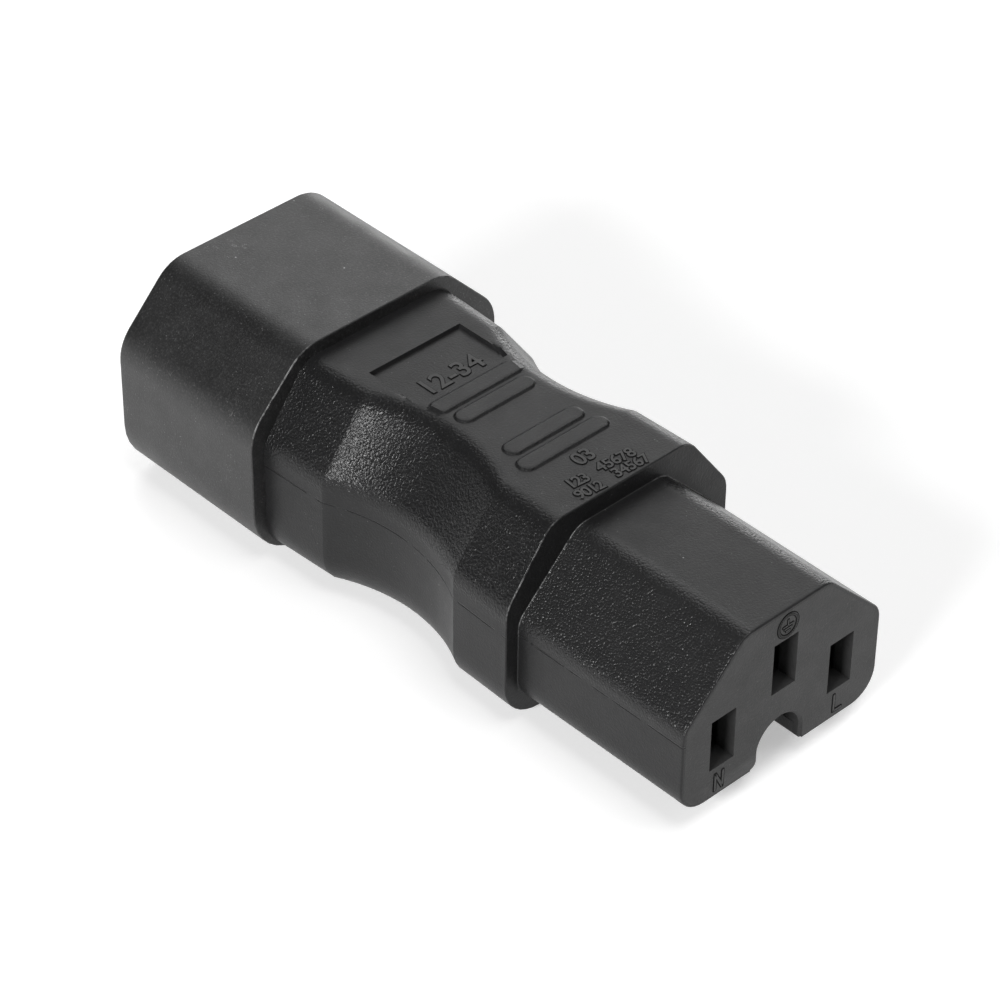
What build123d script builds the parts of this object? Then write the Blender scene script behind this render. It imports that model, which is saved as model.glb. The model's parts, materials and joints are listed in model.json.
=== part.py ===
from build123d import *
from math import hypot
import os

os.makedirs("parts", exist_ok=True)

# A moulded inline mains adapter. It lies along Y: the socket face looks to -Y and the open
# plug shroud to +Y. +Z is up, on the side of the earth, and +X is the line side. The origin is
# on the surface that it lies on, under the middle of its length. Sizes are in millimetres.

# The pattern shared by both ends: line and neutral in one row, earth above the middle of it.
PIN_PITCH = 14.0
EARTH_RISE = 4.0

# Lengths along Y, one after the other from the socket face to the shroud's rim
NOSE_LENGTH = 19.2
BODY_LENGTH = 30.5
SHROUD_LENGTH = 18.15

# Socket nose
SOCKET_ROW_Z = 7.75
NOSE_WIDTH = 23.3
NOSE_HEIGHT = 15.7
NOSE_CUT_X = 6.6
NOSE_CUT_Z = 6.6
NOSE_RADIUS_BOTTOM = 2.8
NOSE_RADIUS_SIDE = 1.9
NOSE_RADIUS_TOP = 1.4
NOSE_SKIN = 1.5
FACE_PLATE = 0.9
FACE_BEVEL = 0.3

# Moulded body behind the nose
BODY_WIDTH = 26.1
BODY_BOTTOM_Z = 0.3
BODY_HEIGHT = 19.2
BODY_CUT_X = 4.95
BODY_CUT_Z = 6.75
BODY_RADIUS_BOTTOM = 4.1
BODY_RADIUS_SIDE = 2.0
BODY_RADIUS_TOP = 1.6
WAIST_START = 6.5
WAIST_LENGTH = 16.2
WAIST_DEPTH = 2.0

# Finger ribs and the sunk field on the body's top, with places counted from the flange
RIB_PLACES = (7.65, 10.0, 15.8, 18.15)
RIB_LENGTHS = (10.0, 8.6, 8.5, 10.0)
RIB_WIDTH = 1.75
RIB_HEIGHT = 0.3
FIELD_PLACE = 22.3
FIELD_WIDTH = 10.6
FIELD_LENGTH = 6.2
FIELD_DEPTH = 0.35

# Plug shroud
SHROUD_WIDTH = 28.9
SHROUD_HEIGHT = 20.8
SHROUD_CUT_X = 6.05
SHROUD_CUT_Z = 6.3
SHROUD_RADIUS_BOTTOM = 5.6
SHROUD_RADIUS_SIDE = 3.2
SHROUD_RADIUS_TOP = 2.1
SHROUD_WALL = 2.15
SHROUD_FLOOR = 1.95
RIM_BEVEL = 0.35
NECK_INSET = 4.6
NECK_LENGTH = 5.0
COLLAR_INSET = 3.5
COLLAR_LENGTH = 1.6
RETAINER_THICKNESS = 1.5

# Pins
PIN_WIDTH = 2.0
PIN_HEIGHT = 4.0
PIN_TIP_BEVEL = 0.6
LINE_PIN_REACH = 12.8
EARTH_PIN_REACH = 14.6
SHOULDER_WIDTH = 3.0
SHOULDER_HEIGHT = 5.0
SHOULDER_LENGTH = 1.2
PIN_BARREL_RADIUS = 1.4
PIN_BARREL_LENGTH = 4.5

# Socket insert
SLOT_WIDTH = 2.84
SLOT_HEIGHT = 5.3
FRONT_WALL = 2.0
INSERT_LENGTH = 21.5
COVER_THICKNESS = 1.5
NOTCH_WIDTH = 5.0
NOTCH_HEIGHT = 4.0
NOTCH_LENGTH = 15.5
NOTCH_TOP_RADIUS = 2.4
NOTCH_LIP_RADII = (0.9, 0.4)

# Socket contacts, each folded from one strip of sheet
SHEET = 0.5
CONTACT_LENGTH = 15.6
LEAF_HEIGHT = 4.4
LIP_GAP = 2.9
THROAT_GAP = 1.5
CHANNEL_GAP = 2.6
LIP_LENGTH = 2.2
THROAT_LENGTH = 1.6
SPRING_LENGTH = 5.4
TAIL_WIDTH = 2.0
TAIL_STEP = 2.0
CONTACT_BARREL_LENGTH = 4.5
CRIMP_SEAM = 0.25

# Wires
CORE_RADIUS = 0.75
JACKET_RADIUS = 1.4

# Clearances
FIT = 0.05
CHAMBER_CLEARANCE = 0.2
STRIP_BACK = 0.5

# Inner moulding
PREMOULD_INSET = 3.6

# Stations along Y
FACE_Y = -(NOSE_LENGTH + BODY_LENGTH + SHROUD_LENGTH) / 2
FLANGE_Y = FACE_Y + NOSE_LENGTH
SHROUD_Y = FLANGE_Y + BODY_LENGTH
RIM_Y = SHROUD_Y + SHROUD_LENGTH
FLOOR_Y = SHROUD_Y + SHROUD_FLOOR
COLLAR_Y = SHROUD_Y - NECK_LENGTH
RETAINER_Y = COLLAR_Y - RETAINER_THICKNESS
INSERT_END_Y = FACE_Y + INSERT_LENGTH
COVER_END_Y = INSERT_END_Y + COVER_THICKNESS
CHAMBER_Y = FACE_Y + FRONT_WALL
CONTACT_Y = INSERT_END_Y - CHAMBER_CLEARANCE - CONTACT_LENGTH
CHANNEL_END_Y = CONTACT_Y + CONTACT_LENGTH
WAIST_Y = FLANGE_Y + WAIST_START
CONTACT_BARREL_Y = COVER_END_Y + TAIL_STEP
CONTACT_BARREL_END_Y = CONTACT_BARREL_Y + CONTACT_BARREL_LENGTH
PIN_BARREL_Y = RETAINER_Y - PIN_BARREL_LENGTH

# Heights
NOSE_BOTTOM_Z = SOCKET_ROW_Z + EARTH_RISE / 2 - NOSE_HEIGHT / 2
PLUG_ROW_Z = SHROUD_HEIGHT / 2 - EARTH_RISE / 2
BODY_TOP_Z = BODY_BOTTOM_Z + BODY_HEIGHT

# The three circuits: place across, and rise above the row of line and neutral
CIRCUITS = {
    "line": (PIN_PITCH / 2, 0.0),
    "neutral": (-PIN_PITCH / 2, 0.0),
    "earth": (0.0, EARTH_RISE),
}


def outline(width, bottom, height, cut_x, cut_z, radii, inset, sharp):
    """Cross-section of a housing: a rectangle whose two upper corners are cut off slantwise.

    radii are those of the bottom, side and top corners. An inset moves every side inwards by
    the same distance, so that a wall or a skin has one thickness all the way round, and a corner
    whose radius is used up by the inset is left sharp. Pieces that are buried in the moulding
    have no roundings at all.
    """
    half = width / 2 - inset
    low = bottom + inset
    high = bottom + height - inset
    shorter = inset * (cut_x + cut_z - hypot(cut_x, cut_z))
    leg_x = cut_x - shorter / cut_z
    leg_z = cut_z - shorter / cut_x
    r_bottom, r_side, r_top = [0.0 if sharp else max(radius - inset, 0.0) for radius in radii]
    corners = [
        (-half, low),
        (half, low),
        (half, high - leg_z),
        (half - leg_x, high),
        (-half + leg_x, high),
        (-half, high - leg_z),
    ]
    rounding = [r_bottom, r_bottom, r_side, r_top, r_top, r_side]
    return make_face(FilletPolyline(*corners, radius=rounding, close=True))


def nose_outline(inset=0.0, sharp=False):
    size = (NOSE_WIDTH, NOSE_BOTTOM_Z, NOSE_HEIGHT, NOSE_CUT_X, NOSE_CUT_Z)
    return outline(*size, (NOSE_RADIUS_BOTTOM, NOSE_RADIUS_SIDE, NOSE_RADIUS_TOP), inset, sharp)


def body_outline(inset=0.0, sharp=False):
    size = (BODY_WIDTH, BODY_BOTTOM_Z, BODY_HEIGHT, BODY_CUT_X, BODY_CUT_Z)
    return outline(*size, (BODY_RADIUS_BOTTOM, BODY_RADIUS_SIDE, BODY_RADIUS_TOP), inset, sharp)


def shroud_outline(inset=0.0, sharp=False):
    size = (SHROUD_WIDTH, 0.0, SHROUD_HEIGHT, SHROUD_CUT_X, SHROUD_CUT_Z)
    radii = (SHROUD_RADIUS_BOTTOM, SHROUD_RADIUS_SIDE, SHROUD_RADIUS_TOP)
    return outline(*size, radii, inset, sharp)


def station(y):
    """The plane across the adapter at y, with X to the right and Z up in the sketch."""
    return Plane.XZ.offset(-y)


def prism(sketch, start, end):
    """Runs a cross-section straight along Y from one station to another."""
    return extrude(station(start) * sketch, amount=end - start, dir=(0, 1, 0))


def block(x, z, width, height, start, end):
    """A rectangular bar along Y, centred on x and z."""
    return prism(Pos(x, z) * Rectangle(width, height), start, end)


def rod(x, z, radius, start, end):
    """A round bar along Y, centred on x and z."""
    return prism(Pos(x, z) * Circle(radius), start, end)


# Overmoulded body


def waist():
    """The pinched stretch of the body.

    Each half of the cross-section is carried along an arc in plan without turning, so sides,
    slanting corners and roundings all move in together while top and bottom stay level.
    """
    half_space = Pos(BODY_WIDTH / 2, BODY_TOP_Z / 2) * Rectangle(BODY_WIDTH, 2 * BODY_TOP_Z)
    right_half = station(WAIST_Y) * (body_outline() & half_space)
    path = ThreePointArc(
        (0, WAIST_Y, 0),
        (-WAIST_DEPTH, WAIST_Y + WAIST_LENGTH / 2, 0),
        (0, WAIST_Y + WAIST_LENGTH, 0),
    )
    right = sweep(right_half, path=path, normal=(0, 1, 0))
    return right + mirror(right, about=Plane.YZ)


def finger_ribs():
    ribs = []
    for place, length in zip(RIB_PLACES, RIB_LENGTHS):
        foot = Plane.XY.offset(BODY_TOP_Z - RIB_HEIGHT) * Pos(0, FLANGE_Y + place)
        ribs.append(extrude(foot * SlotOverall(length, RIB_WIDTH), amount=2 * RIB_HEIGHT))
    return ribs


def label_field():
    middle = Pos(0, FLANGE_Y + FIELD_PLACE, BODY_TOP_Z)
    return middle * Box(FIELD_WIDTH, FIELD_LENGTH, 2 * FIELD_DEPTH)


def notch_section():
    """The groove across: straight sides, rounded top, and a rounded lip on each lower edge."""
    half = NOTCH_WIDTH / 2
    top = NOSE_BOTTOM_Z + NOTCH_HEIGHT
    lip_left, lip_right = NOTCH_LIP_RADII
    corners = [
        (-half - 2 * lip_left, 0),
        (-half - 2 * lip_left, NOSE_BOTTOM_Z),
        (-half, NOSE_BOTTOM_Z),
        (-half, top),
        (half, top),
        (half, NOSE_BOTTOM_Z),
        (half + 2 * lip_right, NOSE_BOTTOM_Z),
        (half + 2 * lip_right, 0),
    ]
    rounding = [0, 0, lip_left, NOTCH_TOP_RADIUS, NOTCH_TOP_RADIUS, lip_right, 0, 0]
    return make_face(FilletPolyline(*corners, radius=rounding, close=True))


def keying_notch():
    return prism(notch_section(), FACE_Y, FACE_Y + NOTCH_LENGTH)


def inner_envelope():
    """The room that the insert, its cover, the inner moulding and the shroud's neck take."""
    collar_end = COLLAR_Y + COLLAR_LENGTH
    room = prism(nose_outline(NOSE_SKIN - FIT, sharp=True), FACE_Y + FACE_PLATE, COVER_END_Y)
    room += prism(body_outline(PREMOULD_INSET - FIT, sharp=True), COVER_END_Y, RETAINER_Y)
    room += prism(shroud_outline(COLLAR_INSET - FIT, sharp=True), RETAINER_Y, collar_end)
    room += prism(shroud_outline(NECK_INSET - FIT, sharp=True), collar_end, SHROUD_Y)
    return room


def overmould_body():
    front = prism(body_outline(), FLANGE_Y, WAIST_Y)
    rear = prism(body_outline(), WAIST_Y + WAIST_LENGTH, SHROUD_Y)
    nose = prism(nose_outline(), FACE_Y + FACE_PLATE, FLANGE_Y)
    body = front + waist() + rear + nose
    body = body + finger_ribs()
    return body - label_field() - keying_notch() - inner_envelope()


# Socket insert and its cover


def chamber_outline(x, z):
    """Chamber for one contact, with room all round the folded sheet."""
    width = LIP_GAP + 2 * SHEET + 2 * CHAMBER_CLEARANCE
    height = LEAF_HEIGHT + SHEET + 2 * CHAMBER_CLEARANCE
    return Pos(x, z - SHEET / 2) * Rectangle(width, height)


def socket_insert():
    plate = prism(nose_outline() - notch_section(), FACE_Y, FACE_Y + FACE_PLATE)
    plate = chamfer(plate.faces().sort_by(Axis.Y)[0].edges(), FACE_BEVEL)
    insert = prism(nose_outline(NOSE_SKIN, sharp=True), FACE_Y + FACE_PLATE, INSERT_END_Y)
    insert = plate + (insert - keying_notch())
    for x, rise in CIRCUITS.values():
        z = SOCKET_ROW_Z + rise
        insert -= block(x, z, SLOT_WIDTH, SLOT_HEIGHT, FACE_Y, CHAMBER_Y)
        insert -= prism(chamber_outline(x, z), CHAMBER_Y, INSERT_END_Y)
    return insert


def insert_rear_cover():
    """Comb-shaped plate: it drops over the three contact tails from above."""
    cover = prism(nose_outline(NOSE_SKIN, sharp=True), INSERT_END_Y, COVER_END_Y)
    for x, rise in CIRCUITS.values():
        top = tail_z(rise) + SHEET / 2 + FIT
        slit = Pos(x, top / 2) * Rectangle(TAIL_WIDTH + 2 * FIT, top)
        cover -= prism(slit, INSERT_END_Y, COVER_END_Y)
    return cover


# Contacts


def tail_z(rise):
    """Height of the middle of the sheet that runs under the leaves and back as the tail."""
    return SOCKET_ROW_Z + rise - LEAF_HEIGHT / 2 - SHEET / 2


def contact_tail(x, rise, room=0.0):
    """The tail passes straight through the cover, then steps up to the floor of its barrel."""
    low, high = tail_z(rise), PLUG_ROW_Z + rise - CORE_RADIUS - FIT - SHEET / 2
    half = SHEET / 2 + room
    line = [(CHANNEL_END_Y, low), (COVER_END_Y, low)]
    line += [(CONTACT_BARREL_Y, high), (CONTACT_BARREL_Y + SHEET, high)]
    ring = [(y, z - half) for y, z in line] + [(y, z + half) for y, z in reversed(line)]
    side = make_face(Polyline(*[(x, y, z) for y, z in ring], close=True))
    return extrude(side, amount=TAIL_WIDTH / 2 + room, dir=(1, 0, 0), both=True)


def contact_barrel(x, rise):
    """Crimp barrel: the sheet rolled round the core, with its two edges meeting on top."""
    z = PLUG_ROW_Z + rise
    radius = CORE_RADIUS + FIT + SHEET
    barrel = rod(x, z, radius, CONTACT_BARREL_Y, CONTACT_BARREL_END_Y)
    barrel -= block(x, z + radius, CRIMP_SEAM, 2 * radius, CONTACT_BARREL_Y, CONTACT_BARREL_END_Y)
    return barrel


def contact_leaf(side):
    """Spring leaf in plan: flared lip, throat, long spring stretch and the side of the channel."""
    lip, throat, channel = LIP_GAP / 2, THROAT_GAP / 2, CHANNEL_GAP / 2
    steps = (0.0, LIP_LENGTH, LIP_LENGTH + THROAT_LENGTH)
    steps += (LIP_LENGTH + THROAT_LENGTH + SPRING_LENGTH, CONTACT_LENGTH)
    inner = list(zip((lip, throat, throat, channel, channel), steps))
    outer = [(x + SHEET, y) for x, y in reversed(inner)]
    return make_face(Polyline(*[(side * x, y) for x, y in inner + outer], close=True))


def contact(x, rise):
    leaf_foot = Plane.XY.offset(SOCKET_ROW_Z + rise - LEAF_HEIGHT / 2) * Pos(x, CONTACT_Y)
    piece = extrude(leaf_foot * (contact_leaf(1) + contact_leaf(-1)), amount=LEAF_HEIGHT)
    channel_start = CONTACT_Y + LIP_LENGTH + THROAT_LENGTH + SPRING_LENGTH
    width = CHANNEL_GAP + 2 * SHEET
    piece += block(x, tail_z(rise), width, SHEET, channel_start, CHANNEL_END_Y)
    piece += contact_tail(x, rise) + contact_barrel(x, rise)
    bore = rod(x, PLUG_ROW_Z + rise, CORE_RADIUS + FIT, CONTACT_BARREL_Y, CONTACT_BARREL_END_Y)
    return piece - bore


# Plug shroud and pins


def pin_places():
    return [(x, PLUG_ROW_Z + rise) for x, rise in CIRCUITS.values()]


def plug_shroud():
    shell = prism(shroud_outline(), SHROUD_Y, RIM_Y)
    shell = chamfer(shell.faces().sort_by(Axis.Y)[-1].edges(), RIM_BEVEL)
    shell -= prism(shroud_outline(SHROUD_WALL), FLOOR_Y, RIM_Y)
    shell += prism(shroud_outline(NECK_INSET, sharp=True), COLLAR_Y, SHROUD_Y)
    shell += prism(shroud_outline(COLLAR_INSET, sharp=True), COLLAR_Y, COLLAR_Y + COLLAR_LENGTH)
    for x, z in pin_places():
        shell -= block(x, z, PIN_WIDTH + 2 * FIT, PIN_HEIGHT + 2 * FIT, COLLAR_Y, FLOOR_Y)
        pocket = (SHOULDER_WIDTH + 2 * FIT, SHOULDER_HEIGHT + 2 * FIT)
        shell -= block(x, z, *pocket, COLLAR_Y, COLLAR_Y + SHOULDER_LENGTH + FIT)
    return shell


def pin_retainer():
    plate = prism(shroud_outline(COLLAR_INSET, sharp=True), RETAINER_Y, COLLAR_Y)
    for x, z in pin_places():
        plate -= rod(x, z, PIN_BARREL_RADIUS + FIT, RETAINER_Y, COLLAR_Y)
    return plate


def pin(x, z, reach):
    blade = block(x, z, PIN_WIDTH, PIN_HEIGHT, COLLAR_Y, FLOOR_Y + reach)
    blade = chamfer(blade.faces().sort_by(Axis.Y)[-1].edges(), PIN_TIP_BEVEL)
    shoulder = block(x, z, SHOULDER_WIDTH, SHOULDER_HEIGHT, COLLAR_Y, COLLAR_Y + SHOULDER_LENGTH)
    barrel = rod(x, z, PIN_BARREL_RADIUS, PIN_BARREL_Y, COLLAR_Y)
    bore = rod(x, z, CORE_RADIUS + FIT, PIN_BARREL_Y, RETAINER_Y)
    return blade + shoulder + barrel - bore


# Wires and the inner moulding


def wire_core(x, z):
    """The stripped ends reach into both crimp barrels."""
    return rod(x, z, CORE_RADIUS, CONTACT_BARREL_Y + STRIP_BACK, RETAINER_Y - STRIP_BACK)


def wire_jacket(x, z):
    start, end = CONTACT_BARREL_END_Y + STRIP_BACK, PIN_BARREL_Y - STRIP_BACK
    return rod(x, z, JACKET_RADIUS, start, end) - rod(x, z, CORE_RADIUS + FIT, start, end)


def inner_premould():
    """First moulding, poured round tails, crimps and wires before the body goes over it."""
    premould = prism(body_outline(PREMOULD_INSET, sharp=True), COVER_END_Y, RETAINER_Y)
    barrel = CORE_RADIUS + FIT + SHEET
    for x, rise in CIRCUITS.values():
        z = PLUG_ROW_Z + rise
        premould -= contact_tail(x, rise, room=FIT)
        premould -= rod(x, z, barrel + FIT, CONTACT_BARREL_Y, CONTACT_BARREL_END_Y)
        premould -= rod(x, z, JACKET_RADIUS + FIT, CONTACT_BARREL_END_Y, RETAINER_Y)
    return premould


def write(name, piece):
    solids = piece.solids()
    print(name, len(solids), "solid", round(sum(solid.volume for solid in solids), 1), "mm3")
    export_step(solids[0] if len(solids) == 1 else Compound(solids), f"parts/{name}.step")


write("overmould_body", overmould_body())
write("plug_shroud", plug_shroud())
write("pin_retainer", pin_retainer())
write("socket_insert", socket_insert())
write("insert_rear_cover", insert_rear_cover())
write("inner_premould", inner_premould())
for name, (x, rise) in CIRCUITS.items():
    reach = EARTH_PIN_REACH if name == "earth" else LINE_PIN_REACH
    write(f"{name}_pin", pin(x, PLUG_ROW_Z + rise, reach))
    write(f"{name}_contact", contact(x, rise))
    write(f"{name}_wire_core", wire_core(x, PLUG_ROW_Z + rise))
    write(f"{name}_wire_jacket", wire_jacket(x, PLUG_ROW_Z + rise))
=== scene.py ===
# %% [markdown]
# # A moulded inline mains adapter
# The real object is a small black adapter, about 68 mm long. A hard shroud with three pins is
# at its far end, a socket nose with three slots at its near end, and a soft moulded body with a
# pinched waist joins them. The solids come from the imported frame. This script gives them their
# finish, and makes new skins where fine edges, ribs and grain matter.

# %% Load the frame
import json
import math

import bmesh
import bpy
import numpy as np
from mathutils import Matrix

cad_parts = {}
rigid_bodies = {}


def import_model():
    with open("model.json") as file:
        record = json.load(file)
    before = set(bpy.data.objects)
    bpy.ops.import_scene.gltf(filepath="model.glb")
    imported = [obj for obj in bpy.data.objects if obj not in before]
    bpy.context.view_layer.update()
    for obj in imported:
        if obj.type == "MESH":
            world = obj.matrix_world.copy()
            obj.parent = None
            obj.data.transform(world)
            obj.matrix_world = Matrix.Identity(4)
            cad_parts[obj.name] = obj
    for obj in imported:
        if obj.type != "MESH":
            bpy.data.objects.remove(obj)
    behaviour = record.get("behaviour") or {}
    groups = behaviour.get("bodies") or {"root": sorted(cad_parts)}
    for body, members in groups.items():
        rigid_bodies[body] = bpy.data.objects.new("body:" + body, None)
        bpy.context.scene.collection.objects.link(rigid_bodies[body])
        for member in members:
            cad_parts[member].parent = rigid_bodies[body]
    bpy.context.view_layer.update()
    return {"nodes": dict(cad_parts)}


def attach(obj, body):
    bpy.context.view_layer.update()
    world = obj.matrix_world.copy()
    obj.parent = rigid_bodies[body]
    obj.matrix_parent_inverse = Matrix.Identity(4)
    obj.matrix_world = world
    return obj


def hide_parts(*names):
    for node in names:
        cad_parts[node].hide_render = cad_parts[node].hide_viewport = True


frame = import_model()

# %% [markdown]
# ## Camera
# The photograph was taken from above the socket end with a long lens, so the two ends look
# almost the same size. A camera is easiest to aim with a target, two angles and a distance.
# That is clearer than typing a matrix, and each number means something on its own.

# %% Aim the camera
TARGET = np.array([0.275, 0.075, 8.724]) / 1000
AZIMUTH, ELEVATION, ROLL = (math.radians(angle) for angle in (-43.808, 38.606, 0.659))
DISTANCE, FOCAL_MM = 0.333736, 138.57


def put(name, data):
    """A new object for a mesh, camera, lamp or text, linked into the scene."""
    made = bpy.data.objects.new(name, data)
    bpy.context.scene.collection.objects.link(made)
    return made


def looking(back, distance, target=0.0, roll=0.0):
    """The matrix of a camera or lamp that looks at the target from the direction back.

    Its right is the vertical crossed with back and its up is back crossed with right. Then both
    turn by the roll.
    """
    right = np.cross([0.0, 0.0, 1.0], back)
    right /= np.linalg.norm(right)
    up = np.cross(back, right)
    matrix = np.eye(4)
    matrix[:3, 0] = math.cos(roll) * right + math.sin(roll) * up
    matrix[:3, 1] = math.cos(roll) * up - math.sin(roll) * right
    matrix[:3, 2], matrix[:3, 3] = back, target + back * distance
    return Matrix(matrix.tolist())


back = np.array([math.sin(AZIMUTH) * math.cos(ELEVATION),
                 -math.cos(AZIMUTH) * math.cos(ELEVATION), math.sin(ELEVATION)])
camera_data = bpy.data.cameras.new("photo_camera")
camera_data.lens, camera_data.sensor_width = FOCAL_MM, 36.0
camera_data.clip_start, camera_data.clip_end = 0.01, 20.0
camera = put("photo_camera", camera_data)
camera.matrix_world = looking(back, DISTANCE, TARGET, ROLL)
bpy.context.scene.camera = camera
print("Camera stands", round(DISTANCE * 1000), "mm from the middle of the adapter")

# %% [markdown]
# ## Sizes
# All three housings have the same kind of cross-section: a rectangle whose two upper corners are
# cut off slantwise, with rounded corners. They are kept as one small table, in millimetres, so
# that one function can draw them all. The radii are those of the bottom, side and top corners.
# WAIST_ENDS is how far each side has tapered in at the waist's two ends, and each rib is its
# place along y and its length.

# %% Sizes of the housings in millimetres
HOUSINGS = {
    "nose": dict(width=23.3, bottom=1.9, height=15.7, cut=(6.6, 6.6), radii=(2.8, 2.2, 2.4)),
    "body": dict(width=26.1, bottom=0.3, height=19.2, cut=(4.95, 6.75), radii=(4.1, 3.0, 2.6)),
    "shroud": dict(width=28.9, bottom=0.0, height=20.8, cut=(6.05, 6.3), radii=(5.6, 4.5, 4.2)),
}
FACE_Y, SKIN_Y, NOTCH_END_Y, FLANGE_Y = -33.925, -33.025, -18.425, -14.725
COVER_END_Y, RETAINER_Y, COLLAR_Y, COLLAR_END_Y = -10.925, 9.275, 10.775, 12.375
SHROUD_Y, FLOOR_Y, RIM_Y = 15.775, 17.725, 33.925
WAIST_Y, WAIST_LENGTH, WAIST_DEPTH, WAIST_ENDS = -8.1, 16.7, 2.05, (0.2, 0.35)
BODY_TOP_Z = 19.5
RIBS = ((-7.75, 10.0), (-5.40, 8.7), (0.55, 8.6), (2.90, 10.0))
RIB_WIDTH, RIB_HEIGHT = 1.75, 0.20
FIELD_Y, FIELD_HALF, FIELD_DEPTH = 7.575, (5.3, 3.1), 0.35
print("The frame's record names", len(frame["nodes"]), "nodes")

# %% [markdown]
# ## One ring of a housing
# A skin is a stack of rings. Every ring has the same number of points, in the same order, so
# that neighbouring rings join into four-sided faces. The points of a corner are evenly spaced by
# angle, and those of a straight side by fractions of its length. The top gets many more, because
# the ribs and the sunk field are shaped there, and the bottom has its own over the notch. A
# bevelled cube would give the same outline, but its points wouldn't line up with either.

# %% Fractions along the straight sides
ARC_POINTS = np.linspace(0.0, 1.0, 9)
SIDE_FRACTIONS = np.linspace(0.0, 1.0, 9)[1:-1]
TOP_FINE = np.unique(np.concatenate([np.linspace(-1, 1, 125), [-0.99, -0.98, 0.98, 0.99]]))
BESIDE_NOTCH, OVER_NOTCH = 7, 12
NOTCH_HALF, LIPS = 2.5, (0.9, 0.4)
SMALLEST_RADIUS = 0.12
TOP_SIDE, BOTTOM_SIDE = 2, 5
print("Fine columns across the top:", TOP_FINE.size)

# %% The ring function
def top_places(half):
    """Places across the flat top: fine steps as far as the field's edge, or as the waist allows,
    and then three more to the corner."""
    edge = min(FIELD_HALF[0], half - 0.15)
    outer = edge + (half - edge) * np.array([0.25, 0.5, 0.75])
    return np.concatenate([-outer[::-1], TOP_FINE * edge, outer])


def bottom_places(half, notch):
    """Places across the bottom: the notch's width has its own twelve columns in the middle."""
    left = np.linspace(-half, notch[0], BESIDE_NOTCH + 1)[1:]
    middle = np.linspace(notch[0], notch[1], OVER_NOTCH + 1)[1:-1]
    right = np.linspace(notch[1], half, BESIDE_NOTCH + 1)[:-1]
    return np.concatenate([left, middle, right])


def ring(housing, y, inset=0.0, narrower=0.0, notch=(-NOTCH_HALF - LIPS[0], NOTCH_HALF + LIPS[1])):
    """One closed ring at station y, as points (x, y, z) in millimetres.

    The outline is six straight sides. Each corner is an arc about a centre that lies one radius
    inside both of its sides: centre + radius * (cos, sin) of the angle, from the direction of
    the first side's normal to that of the second. An inset moves every side inwards.
    """
    size = HOUSINGS[housing]
    half = size["width"] / 2 - inset - narrower
    low, high = size["bottom"] + inset, size["bottom"] + size["height"] - inset
    cut_x, cut_z = size["cut"]
    shorter = inset * (cut_x + cut_z - math.hypot(cut_x, cut_z))
    leg_x, leg_z = cut_x - shorter / cut_z, cut_z - shorter / cut_x
    corners = np.array([(half, low), (half, high - leg_z), (half - leg_x, high),
                        (leg_x - half, high), (-half, high - leg_z), (-half, low)])
    bottom, side, top = size["radii"]
    radii = np.array([bottom, side, top, top, side, bottom]) - inset
    radii = np.maximum(radii, SMALLEST_RADIUS)
    along = np.roll(corners, -1, axis=0) - corners
    along /= np.linalg.norm(along, axis=1)[:, None]
    before = np.roll(along, 1, axis=0)
    start = np.arctan2(-before[:, 0], before[:, 1])
    turn = (np.arctan2(-along[:, 0], along[:, 1]) - start) % (2 * math.pi)
    tangent = radii * np.tan(turn / 2)
    normal = np.stack([before[:, 1], -before[:, 0]], axis=1)
    centre = corners - tangent[:, None] * before - radii[:, None] * normal
    angle = start[:, None] + turn[:, None] * ARC_POINTS[None, :]
    arcs = centre[:, None, :] + radii[:, None, None] * np.stack([np.cos(angle), np.sin(angle)], -1)
    parts = []
    for corner in range(6):
        parts.append(arcs[corner])
        first, last = arcs[corner, -1], arcs[(corner + 1) % 6, 0]
        if corner == TOP_SIDE:
            x = top_places(first[0])[::-1]
            parts.append(np.stack([x, np.full(x.size, high)], axis=1))
        elif corner == BOTTOM_SIDE:
            x = bottom_places(last[0], notch)
            parts.append(np.stack([x, np.full(x.size, low)], axis=1))
        else:
            parts.append(first + (last - first) * SIDE_FRACTIONS[:, None])
    flat = np.concatenate(parts)
    return np.column_stack([flat[:, 0], np.full(len(flat), y), flat[:, 1]])


COLUMNS = len(ring("body", 0.0))
print("Each ring has", COLUMNS, "points")

# %% [markdown]
# ## From rings to a mesh
# The rings are stacked into one array, and the faces are worked out from the array's indices
# alone. A helper makes the object, keeps its place in its mesh, and gives it smooth shading
# that stays crisp at real edges.

# %% Mesh helpers
SHARP_ANGLE = math.radians(32.0)


def new_piece(name, vertices_mm, faces):
    """A mesh object from vertices in millimetres and faces as lists of vertex numbers."""
    mesh = bpy.data.meshes.new(name)
    mesh.from_pydata((np.asarray(vertices_mm) / 1000).tolist(), [], faces)
    mesh.validate()
    mesh.shade_smooth()
    mesh.set_sharp_from_angle(angle=SHARP_ANGLE)
    return put(name, mesh)


def ring_faces(rows, columns, closed_rows=False):
    """Quads between neighbouring rings, as an array indexed by row and column."""
    row = np.arange(rows if closed_rows else rows - 1)[:, None]
    column = np.arange(columns)[None, :]
    next_row, next_column = (row + 1) % rows, (column + 1) % columns
    return np.stack([row * columns + column, next_row * columns + column,
                     next_row * columns + next_column, row * columns + next_column], axis=-1)


def set_attribute(piece, name, values):
    """One number per vertex, which a material reads by name."""
    layer = piece.data.attributes.new(name, "FLOAT", "POINT")
    layer.data.foreach_set("value", np.asarray(values, dtype=np.float32).ravel())


print("Helpers ready")

# %% [markdown]
# ## The moulded body
# The soft body is one moulding: the skin of the nose, the flange, the waist and the ribs. The
# waist is where each half of the section moves inwards along an arc, which only makes the ring
# narrower. Two cylinders could cut it out, but the slanting faces wouldn't follow it in. The
# stations along the body are close together where a rib or the field has an edge, and keep
# clear of the flange, whose rounding has rings of its own.

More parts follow.
